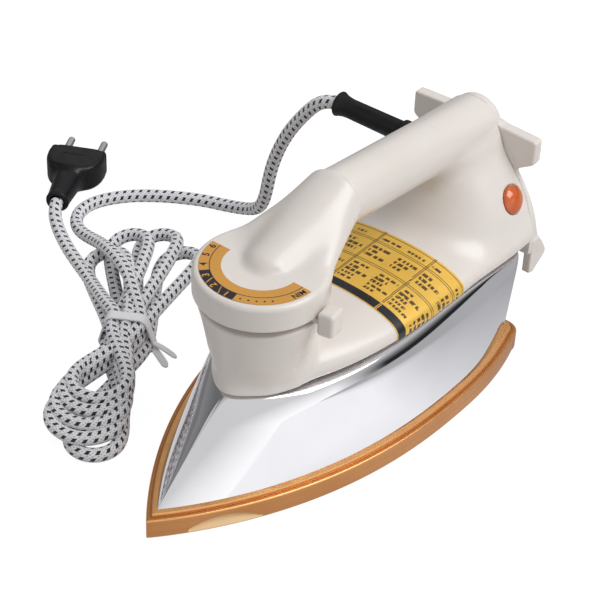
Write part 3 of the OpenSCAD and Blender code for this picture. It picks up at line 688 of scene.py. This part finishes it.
def outline(nose, wide, heel, w, w_heel, p, q, rc):
    """Plan of the iron: right side from the nose to the heel, then back along the left."""
    s = 1 - np.linspace(0, 1, 150, endpoint=False) ** 1.6
    r = np.linspace(0, 1, 60, endpoint=False)
    a = np.linspace(0, math.pi / 2, 13)
    half = np.vstack([
        np.c_[w * (1 - s**p) ** q, wide + (nose - wide) * s],
        np.c_[w - (w - w_heel) * r**2.2, wide + (heel - rc - wide) * r],
        np.c_[w_heel - rc + rc * np.cos(a), heel - rc + rc * np.sin(a)]])
    return np.vstack([half, half[:0:-1] * (-1, 1)])


def sole_ring(inset):
    return outline(SOLE_TIP + 1.5 * inset, SOLE_WIDE, SOLE_HEEL - inset, 58 - inset, 50.5 - inset, 2.33, 0.96,
                   max(2, 8 - inset / 2))


def add_soleplate(mats):
    base, inner = sole_ring(0), sole_ring(1)
    along = np.clip((base[:, 1] + 115.0) / 29.6, 0, 1)
    groove = np.sin(math.pi * along)
    groove_top = 2.0 + 5.6 * groove**0.8
    rows, kinds = [], []

    def row(z, inset, kind):
        inset = np.broadcast_to(inset, len(base))
        ring = base + inset[:, None] * (inner - base) if inset.max() < 4 else sole_ring(inset.max())
        rows.append(np.c_[ring, np.broadcast_to(z, len(base))])
        kinds.append(kind)

    for z, inset in ((0, 1.0), (0.3, 0.4), (0.8, 0.1)):
        row(z, inset, 0)
    for t in np.linspace(0, 1, 9):
        # Kind 1 is the button groove's facet, which gets the lighter gold of a painted highlight.
        row(1.2 + (groove_top - 1.2) * t, 3.4 * t * groove**0.6, 1)
    for t in np.linspace(0, 1, 9):
        row(groove_top + 0.05 + (9.8 - groove_top) * t, 0, 0)
    # Kind 2 is the raised rim and the wall's top bevel; on the bevel its lighter gold is a painted highlight line.
    edge = ((10.15, 0.08, 0), (10.45, 0.25, 2), (10.7, 0.5, 2), (10.8, 0.8, 0), (10.8, 1.75, 0),
            (10.45, 1.82, 0), (10.45, 2.12, 0), (10.8, 2.2, 0), (10.8, 2.6, 0), (12.25, 2.7, 2), (12.5, 2.85, 2),
            (12.6, 3.1, 2), (12.6, 8.0, 2))
    for z, inset, kind in edge:
        row(z, inset, kind)
    points, faces = loft(rows)
    n = len(base)
    ids = np.repeat(kinds[1:], n)
    facet = np.tile(groove > 0.02, len(rows) - 1)
    ids = np.where((ids == 1) & ~facet, 0, ids)
    ids = np.r_[ids, 0, 2]
    piece("soleplate_cast", points, faces, [mats[name] for name in ("sole_gold", "sole_facet_highlight", "sole_rim")],
          "sole_gold", ("soleplate",), ids=ids, sharp=28)


def add_cover(mats):
    foot = outline(SOLE_TIP + 7.5, SOLE_WIDE, 93, 53, 45.5, 2.33, 0.96, 7)
    head = outline(-79.9, 40, 105.0, 41.8, 43.5, 3.1, 0.72, 9)
    middle = np.array([0, 8.0])

    def ring(share, inward, z):
        plan = foot + (head - foot) * share
        away = plan - middle
        inward = inward * (1 - 0.65 * np.clip((plan[:, 1] - 70) / 28, 0, 1))
        plan = middle + away * (1 - inward / np.linalg.norm(away, axis=1))[:, None]
        return np.c_[plan, np.full(len(plan), z)]

    flank_top, flank_share = 41.0, 0.76
    rings = [ring(0, 0.4, 12.62)]
    for z in np.linspace(COVER_LOW, flank_top, 40):
        rings.append(ring(flank_share * (z - COVER_LOW) / (flank_top - COVER_LOW), 0.1, z))
    for a in np.radians(np.linspace(4, 90, 24)):
        z = flank_top + 10 * math.sin(a)
        rings.append(ring(flank_share + 0.27 * math.sin(a), 0.1 + 3.6 * (1 - math.cos(a)), z))
    rings += [ring(1, 7, COVER_TOP), ring(1, 12, COVER_TOP)]
    points, faces = loft(rings)
    piece("chrome_cover_pressed", points, faces, mats["chrome"], "chrome", ("chrome_cover",), sharp=50)


# ---- Handle ----

def smooth_table(rows):
    """Values between table rows, on one smooth curve."""
    rows = np.array(rows, float)
    rows = np.c_[rows, np.zeros((len(rows), 3 - rows.shape[1]))]
    fine = smooth_line(rows, 0.3, 6)
    return fine[np.argsort(fine[:, 0])]


POST_R = smooth_table([[50, 26.6], [54, 25.5], [58, 24.3], [66, 23.8], [74, 25], [84, 27], [90.8, 28.6],
                       [94, 29]])
REAR = smooth_table([[50, 39.6, 38], [54, 39.5, 44], [60, 39.1, 52], [66, 38, 60], [73, 35.4, 66],
                     [81, 31.3, 71.5], [90, 24.6, 76], [97, 18.3, 79], [103, 12.6, 82], [106, 8, 86],
                     [109, 4, 90]])


def skirt_width(y):
    """Half width of the skirt and how fast it changes."""
    s = np.clip((70 - y) / 147.5, 1e-3, 0.9995)
    r = np.clip((y - 70) / 42, 0, 1)
    base = 1 - s**3.1
    w = np.where(y < 70, 40.2 * base**0.8, 40.2 - 0.6 * r**2.2)
    slope = np.where(y < 70, 40.2 * 0.8 * base**-0.2 * 3.1 * s**2.1 / 147.5, 0)
    return w, slope


def arch_field(x, y, z):
    w, slope = skirt_width(y)
    rise = np.maximum(z - ARCH_Z, 0) / ARCH_RISE
    e = np.sqrt((x / w) ** 2 + rise**2) + 1e-6
    steep = np.sqrt((x / w**2) ** 2 * (1 + slope**2) + (rise / ARCH_RISE) ** 2) / e + 1e-4
    return soft_max(soft_max((e - 1) / steep, -77.4 - y, 1.5), z - 68.5, 4.0)


def front_post_field(x, y, z):
    r = np.hypot(x, y - DIAL_Y)
    facing = np.arctan2(x, DIAL_Y - y)
    base = np.clip((69 - z) / 16, 0, 1)
    flat = 3.9 * base * base * (3 - 2 * base) * (1 - np.exp(-(facing / 0.42) ** 2))
    body = (r - np.interp(z, POST_R[:, 0], POST_R[:, 1]) + flat) / 1.04
    return soft_max(body, z - 91.6, 1.6)


def rear_post_field(x, y, z):
    w = np.interp(z, REAR[:, 0], REAR[:, 1])
    y0 = np.interp(z, REAR[:, 0], REAR[:, 2])
    deep = 99 - y0
    along = np.maximum(99 - y, 0) / deep
    e = np.sqrt((x / w) ** 2 + along**2) + 1e-6
    steep = np.sqrt((x / w**2) ** 2 + (along / deep) ** 2) / e + 1e-4
    return soft_max((e - 1) / steep * 0.8, z - 108, 3.0)


def grip_field(x, y, z):
    off = (z - GRIP_Z + y * math.tan(GRIP_FALL)) * math.cos(GRIP_FALL)
    return np.hypot(x, off) - GRIP_R


def lens_depth(x, y, z):
    """Radius and height in the lamp's own frame."""
    m = np.array(LENS_PLACE.inverted())
    local = [m[k, 0] * x + m[k, 1] * y + m[k, 2] * z + m[k, 3] for k in range(3)]
    return np.hypot(local[0], local[1]), local[2]


def handle_field(x, y, z):
    grip = soft_max(grip_field(x, y, z), SEAM_Y + SEAM_GAP - y, 0.9)
    front = soft_min(soft_max(arch_field(x, y, z), DIAL_Y - 3 - y, 5), front_post_field(x, y, z), 7)
    rear = soft_min(grip, rear_post_field(x, y, z), 13)
    body = soft_min(front, rear, 7)
    body = soft_max(soft_max(body, SKIRT_LOW - z, 1.4), y - REAR_Y, 0.5)
    r, h = lens_depth(x, y, z)
    return soft_max(body, -np.maximum(r - LENS_R - 0.35, -0.9 - h), 0.6)


def cap_field(x, y, z):
    r = np.hypot(x, y - DIAL_Y)
    a, b = r - 28.4, z - 106.9
    disc = np.hypot(np.maximum(a, 0), np.maximum(b, 0)) + np.minimum(np.maximum(a, b), 0) - 2.6
    t = np.clip((y + 47.5) / (SEAM_Y + 47.5), 0, 1)
    w, h = 30 + (GRIP_R - 30) * t, 5 + (GRIP_R - 5) * t
    middle = 104.1 + (GRIP_Z - 104.1) * t
    u, v = x / w, (z - middle) / h
    e = np.sqrt(u**2 + v**2) + 1e-6
    shoulder = (e - 1) / (np.sqrt((u / w) ** 2 + (v / h) ** 2) / e + 1e-4) * 0.93
    shoulder = soft_max(shoulder, -47.5 - y, 3.0)
    start = np.array([0, -46.5, 103.2])
    end = np.array([0, SEAM_Y, GRIP_Z])
    axis = end - start
    k = np.clip(((y - start[1]) * axis[1] + (z - start[2]) * axis[2]) / axis.dot(axis), 0, 1)
    nose = np.sqrt(x**2 + (y - start[1] - k * axis[1]) ** 2 + (z - start[2] - k * axis[2]) ** 2) - (13.0 + k)
    top = soft_min(disc, soft_min(shoulder, nose, 6.0), 2.5)
    below = np.clip((120.5 + 0.66 * y - z) / 0.35, 0, 1) * np.clip((y + 40) / 2, 0, 1)
    top = top + 0.9 * below
    top = soft_max(top, 96 - z, 1.4)
    shield = np.maximum(np.maximum(r - 28, 26 - r), np.maximum(91.6 - z, z - 99.6))
    top = np.minimum(top, np.maximum(shield, DIAL_Y + 12 - y))
    return soft_max(top, y - SEAM_Y + SEAM_GAP, 0.9)


def lever_field(x, y, z):
    """In the lever's own frame, about the dial's axis and with the tab along +X."""
    r = np.hypot(x, y)
    disc = soft_max(r - 24.5, np.abs(z - 93.5) - 1.3, 0.6)
    hub = soft_max(r - 6, np.abs(z - 96.4) - 2.8, 0.5)
    arm = rounded_box((x, y, z), (28.5, 0, 93.7), (6.5, 2.6, 1.5), 0.7)
    wedge = (x - 31.7) / 8.5
    tab = rounded_box((x, y, z - 0.35 * wedge), (36, 0, 94.4), (4.2, 5.4 - 0.25 * wedge, 6.3), 2.0)
    whole = soft_min(np.minimum(disc, hub), soft_min(arm, tab, 1.8), 0.8)
    return soft_max(whole, 3.05 - r, 0.3)


COVER = smooth_table([[40, 39.5, 124], [42, 39.6, 123.6], [48, 40, 121.4], [56, 39.5, 119.6],
                      [64, 38.3, 118.2], [73, 35.4, 116.9], [81, 31.3, 116], [90, 24.6, 115.8],
                      [97, 18.3, 116], [103, 12.6, 116.6], [107, 9, 117.2], [110, 6, 117.1]])
WING_HALF = [(20, 84.2), (35.2, 93.8), (36.2, 95.6), (36.2, 106.4), (35.2, 107.5), (14, 108.4)]
WING = WING_HALF + [(-x, z) for x, z in WING_HALF[::-1]]
FOOT = [(115.4, 50), (115.4, 29.6), (119, 28.6), (129.2, 35.6), (129.2, 38.5), (124.5, 46), (121, 50)]


def rear_cover_field(x, y, z):
    w = np.interp(z, COVER[:, 0], COVER[:, 1])
    back = np.interp(z, COVER[:, 0], COVER[:, 2])
    swell = np.interp(z, (42, 48, 73, 107), (3.0, 3.8, 4.0, 3.0))
    back = back + swell * np.maximum(1 - (x / w) ** 2, 0) ** 0.5
    body = soft_max(soft_max(np.abs(x) - w, y - back, 3.0) * 0.92, 42 - z, 1.2)
    body = soft_max(body, z - 107, 1.5)
    disc = soft_max(np.hypot(x, z - (GRIP_Z - REAR_Y * math.tan(GRIP_FALL))) - GRIP_R, y - 118.1, 3.0)
    wings = soft_max(polygon_field(x, z, WING), np.abs(y - 116.3) - 3.25, 1.6)
    feet = soft_max(polygon_field(y, z, FOOT), np.abs(np.abs(x) - 38) - 2.4, 1.2)
    whole = soft_min(soft_min(body, disc, 2.0), wings, 3.0)
    whole = soft_min(whole, feet, 1.5)
    whole = soft_max(whole, 113.1 - y, 0.5)
    screw = np.hypot(np.abs(x) - 25, z - 64)
    return soft_max(whole, -np.maximum(screw - 4, 117.5 - y), 0.6)


def add_handle(mats):
    cream = mats["cream_plastic"]
    carved("handle_shell", handle_field, (-43, -81, 50), (43, 115, 134), 0.85, cream, slot="cream_plastic",
           replaces=("handle_body",))
    carved("front_cap_shell", cap_field, (-34, -85, 89), (34, 2.5, 135), 0.7, cream, slot="cream_plastic",
           replaces=("front_cap",))
    carved("rear_cover_shell", rear_cover_field, (-43, 111, 26), (43, 132, 122), 0.7, cream,
           slot="cream_plastic", replaces=("rear_cover",))
    # Painted shade: a dark ring set in the gap between cap and grip to darken the joint.
    profile = [(11.0, -1.6), (13.1, -1.6), (13.3, -1.3), (13.3, 1.3), (13.1, 1.6), (11.0, 1.6)]
    points, faces = lathe(profile, at((0, SEAM_Y, GRIP_Z), -90, "X"), closed=True)
    piece("cap_joint_shade_ring", points, faces, mats["black_rubber"], "black_rubber", sharp=30)
    carved("lever_moulded", lever_field, (-27, -27, 85), (43, 27, 104), 0.6, cream,
           at((0, DIAL_Y, 0), LEVER_TURN), slot="cream_plastic", replaces=("temperature_lever",), body="lever")


def add_lamp(mats):
    """A hollow clear dome over an orange reflector with stepped rings."""
    def shell(radius, steps):
        turn = np.radians(np.linspace(4, 44, steps))
        return [(radius * math.sin(a) * LENS_R / 6.2, -4.3 + radius * math.cos(a)) for a in turn]

    rim = [(LENS_R - 1.2, -1.3), (LENS_R - 0.2, -1.3), (LENS_R, -1.0), (LENS_R, 0.8), (LENS_R - 0.15, 1.2)]
    dome = shell(8.2, 12)[::-1] + [(0.05, 3.9), (0.05, 3.0)] + shell(7.3, 10)
    points, faces = lathe(rim + dome + [(LENS_R - 1.2, -0.4)], LENS_PLACE, closed=True)
    piece("lamp_lens_dome", points, faces, mats["lamp_orange"], "lamp_orange", ("lamp_lens",), sharp=35)
    well = []
    for i in range(5):
        r = LENS_R - 1.6 - i * 1.05
        well += [(r, 0.3 - 0.32 * i), (r - 0.55, -0.25 - 0.32 * i)]
    well = [(0.4, -2.4), (LENS_R - 1.5, -2.4)] + well + [(0.4, -1.9)]
    points, faces = lathe(well, LENS_PLACE, 48, closed=True)
    piece("lamp_reflector", points, faces, mats["lamp_well"], "lamp_orange", sharp=30)


def add_sleeve(mats):
    profile = [(3.7, 0), (4.9, 0), (4.9, 6.2)]
    profile += arc((6.1, 6.9), 0.5, -90, 0, 5) + arc((6.1, 10.0), 0.5, 0, 90, 5)
    profile += [(5.55, 11.1), (5.3, 12.2), (5.15, 25), (5.0, 42), (5.2, 44.5), (5.7, 46.8)]
    profile += arc((5.9, 48.7), 0.55, -10, 150, 8) + [(4.6, 47.6), (3.9, 44), (3.7, 38)]
    points, faces = lathe(profile, at((-8, SLEEVE_Y, SLEEVE_Z), -90, "Y"), closed=True)
    piece("cord_sleeve_moulded", points, faces, mats["black_rubber"], "black_rubber", ("cord_sleeve",),
          sharp=50)


# ---- Printed labels ----

SCALE_IN, SCALE_OUT, SCALE_TOP, PRINT_R = 18.1, 28.0, DIAL_Z + 0.3, 25.7
BLOCK, SPLITS = (-41.4, 12.1), (-6.2, -24.4)


def add_scale(mats):
    """Gold dial scale with its black block, thin ring and slanted dividers."""
    turn = np.arange(89, -89.01, -0.5)
    degrees = np.degrees(np.radians(turn))
    radii = [SCALE_IN, 20.5, 23.0, 23.4, 24.2, 25.0, 25.8, 26.6, 27.4, SCALE_OUT]

    def grid(z):
        return np.array([[(r * math.sin(t), DIAL_Y - r * math.cos(t), z) for r in radii]
                         for t in np.radians(turn)])

    def ink(i, k):
        middle_r, middle_t = (radii[k] + radii[k + 1]) / 2, (degrees[i] + degrees[i + 1]) / 2
        lean = (middle_r - PRINT_R) * 1.2
        in_block = k > 2 and BLOCK[0] < middle_t < BLOCK[1]
        return int(k == 2 or in_block and all(abs(middle_t - s - lean) > 0.55 for s in SPLITS))

    points, faces, ids = sheet(grid(SCALE_TOP), grid(DIAL_Z - 0.15), ink)
    piece("scale_label_print", points, faces, [mats["dial_print"], mats["label_black"]], "dial_print",
          ("scale_label",), ids=ids, sharp=30)


def letters(text, size):
    """Points and faces of a line of plain text, centred, lying flat."""
    curve = bpy.data.curves.new("letters", "FONT")
    curve.body, curve.size, curve.align_x, curve.align_y = text, size, "CENTER", "CENTER"
    curve.extrude, curve.offset, curve.resolution_u = 0.03, size * 0.022, 4
    obj = add_object("letters", curve)
    bpy.context.view_layer.update()
    mesh = bpy.data.meshes.new_from_object(obj.evaluated_get(bpy.context.evaluated_depsgraph_get()))
    points = np.array([v.co[:] for v in mesh.vertices])
    faces = [tuple(f.vertices) for f in mesh.polygons]
    bpy.data.objects.remove(obj)
    bpy.data.curves.remove(curve)
    bpy.data.meshes.remove(mesh)
    return points, faces


def add_dial_marks(mats):
    """Numbers, MIN and dots, their tops towards the rim."""
    marks = [("MIN", 77.6, 4.0, 1), ("1", 2.6, 4.6, 0), ("2", -15.6, 4.6, 0), ("3", -33.2, 4.6, 0),
             ("4", -51.0, 4.6, 1), ("5", -67.0, 4.6, 1), ("6", -82.2, 4.6, 1)]
    parts, ids = [], []
    for text, turn, size, kind in marks:
        p, f = letters(text, size)
        t = math.radians(turn)
        out = np.array([math.sin(t), -math.cos(t), 0])
        right = np.array([out[1], -out[0], 0])
        p = p[:, :1] * right + (p[:, 1:2] + PRINT_R) * out + p[:, 2:] * (0, 0, 1)
        parts.append((p + (0, DIAL_Y, SCALE_TOP + 0.02), f))
        ids += [kind] * len(f)
    for t in np.radians((49.6, 41.9, 34.2, 26.2, 18.1)):
        place = at((25.9 * math.sin(t), DIAL_Y - 25.9 * math.cos(t), SCALE_TOP))
        dot = lathe([(0.5, -0.05), (0.5, 0.05)], place, 16)
        parts.append(dot)
        ids += [1] * len(dot[1])
    points, faces = joined(parts)
    piece("dial_marks", points, faces, [mats["dial_print"], mats["label_black"]], "dial_print", ids=ids,
          sharp=20)


def chart_ink(s, y):
    """What is printed at one place of the fabric chart, s from its middle: 0 foil, 1 black, 2 dark brown."""
    column = (s + 7.5) // 15
    inside = s + 7.5 - 15 * column
    if y < 10.3:
        if y < 4.5 or abs(y - 9.9) < 0.4:
            return 0
        gap = 0.45 < inside < 0.85 or 1.25 < inside < 1.65
        return 0 if gap and column % 2 == 0 else 1
    if any(abs(y - line) < 0.2 for line in (28.2, 29.6, 44.4, 45.6, 52.6)):
        return 2
    if column % 2 == 0 and (abs(inside - 0.65) < 0.2 or abs(inside - 1.45) < 0.2):
        return 2
    for start, lines, pitch in ((12.0, 5, 3.0), (33.0, 3, 3.4), (47.6, 1, 3.0)):
        line = (y - start) / pitch
        if not 0 <= line < lines:
            continue
        k = int(line)
        if line - k > 0.6:
            return 0
        word = 8.5 + 3.6 * math.sin(2.3 * k + 1.9 * column + 0.7 * lines)
        place = inside - 2.6
        if not 0 < place < word:
            return 0
        stroke = place * 1.1 + 0.35 * math.sin(5.1 * place + k)
        return 2 if stroke - math.floor(stroke) < 0.72 else 0
    return 0


def add_chart(mats):
    """Foil fabric chart over the arch, 0.3 mm proud of it, with its printing as faces of their own."""
    rows, columns, low = np.arange(4.0, 54.01, 0.42), 216, 53.2
    shape, spans = [], []
    t = np.linspace(0, math.pi, 181)
    for y in rows:
        w = float(skirt_width(np.array([y]))[0][0])
        edge = np.vstack([[(w, low)], np.c_[w * np.cos(t), ARCH_Z + ARCH_RISE * np.sin(t)], [(-w, low)]])
        run = distance_along(edge)
        even = np.linspace(0, run[-1], columns + 1)
        x, z = (np.interp(even, run, edge[:, k]) for k in (0, 1))
        shape.append(np.c_[x, np.full(columns + 1, y), z])
        spans.append(run[-1] / 2 - even)
    shape = np.array(shape)
    upper, under = (settle(handle_field, shape.reshape(-1, 3), level, 5)[0].reshape(shape.shape)
                    for level in (0.3, -0.25))
    points, faces, ids = sheet(upper, under, lambda i, j: chart_ink((spans[i][j] + spans[i][j + 1]) / 2,
                                                                    (rows[i] + rows[i + 1]) / 2))
    piece("fabric_chart", points, faces, [mats["foil_label"], mats["label_black"], mats["label_print"]],
          "foil_label", ("fabric_label",), ids=ids, sharp=40)


# ---- Stage ----

def add_floor():
    """White to the camera and pale to diffuse light; metal mirrors it darker to the left and to the rear."""
    s = Shader("floor")
    s.tree.nodes.remove(s.bsdf)
    rays = s.add("ShaderNodeLightPath").outputs
    pale = s.add("ShaderNodeBsdfDiffuse")
    s.join(s.blend(s.math("MULTIPLY", s.noise(30), 0.1), (0.66, 0.65, 0.64), (0.6, 0.6, 0.6)), pale.inputs[0])
    seen = s.mixed(0.82, pale.outputs[0], s.glow((1, 1, 1, 1), 1.16))
    x, y, _ = s.parts(s.place)
    side = s.math("MULTIPLY", s.span(x, -0.25, 0.12), s.span(y, 0.03, 0.15, 1.0, 0.3))
    mirrored = s.glow(s.blend(side, (0.20, 0.19, 0.20), (1.03, 1.03, 1.05)))
    direct = s.mixed(rays["Is Camera Ray"], pale.outputs[0], seen)
    s.join(s.mixed(rays["Is Glossy Ray"], direct, mirrored), s.out.inputs[0])
    far = 9000
    corners = [(-far, -far, -0.05), (far, -far, -0.05), (far, far, -0.05), (-far, far, -0.05)]
    piece("floor", corners, [(0, 1, 2, 3)], s.material, body=None)


def add_world():
    """White light, weaker from the front. Metal mirrors bright walls that are dim on the left, and behind the
    iron a dark wall that turns pale higher up."""
    world = bpy.data.worlds.new("studio")
    bpy.context.scene.world = world
    world.use_nodes = True
    g = Graph(world.node_tree)
    x, y, z = g.parts(g.add("ShaderNodeTexCoord").outputs["Generated"])
    ramp = g.add("ShaderNodeValToRGB")
    g.join(z, ramp.inputs[0])
    stops = ramp.color_ramp.elements
    stops[0].position, stops[0].color = 0.0, (0.03, 0.03, 0.03, 1)
    stops[1].position, stops[1].color = 1.0, (0.95, 0.95, 0.97, 1)
    for place, level in ((0.12, 0.03), (0.28, 0.32), (0.5, 0.78)):
        stops.new(place).color = (level, level, level * 1.01, 1)
    walls = g.math("MULTIPLY", g.span(z, 0.0, 0.5, 1.75, 1.05), g.span(x, -0.4, -0.05, 0.22, 1.0))
    mirrored = g.blend(g.span(y, 0.15, 0.5), walls, ramp.outputs[0])
    glossy = g.add("ShaderNodeLightPath").outputs["Is Glossy Ray"]
    back, out = g.add("ShaderNodeBackground"), g.add("ShaderNodeOutputWorld")
    g.join(g.blend(glossy, g.span(y, -0.7, 0.1, 0.5, 1.08), mirrored), back.inputs[0])
    back.inputs[1].default_value = 0.66
    g.join(back.outputs[0], out.inputs[0])


add_camera()
add_floor()
add_world()
add_area("key", (0.8, 0.25, 1.2), 0.9, 11.2)
add_area("fill", (-0.9, -0.9, 0.9), 0.8, 0.9)
bpy.context.scene.view_settings.view_transform = "Standard"
materials = all_materials()
tie = add_tie(materials)
add_cord(materials, add_plug(materials) + [tie])
add_soleplate(materials)
add_cover(materials)
add_handle(materials)
add_lamp(materials)
add_sleeve(materials)
add_scale(materials)
add_dial_marks(materials)
add_chart(materials)

for part in frame["record"]["subparts"]:
    node = frame["nodes"][part["node"]]
    node.data.materials.clear()
    node.data.materials.append(materials[part["material_slot"]])
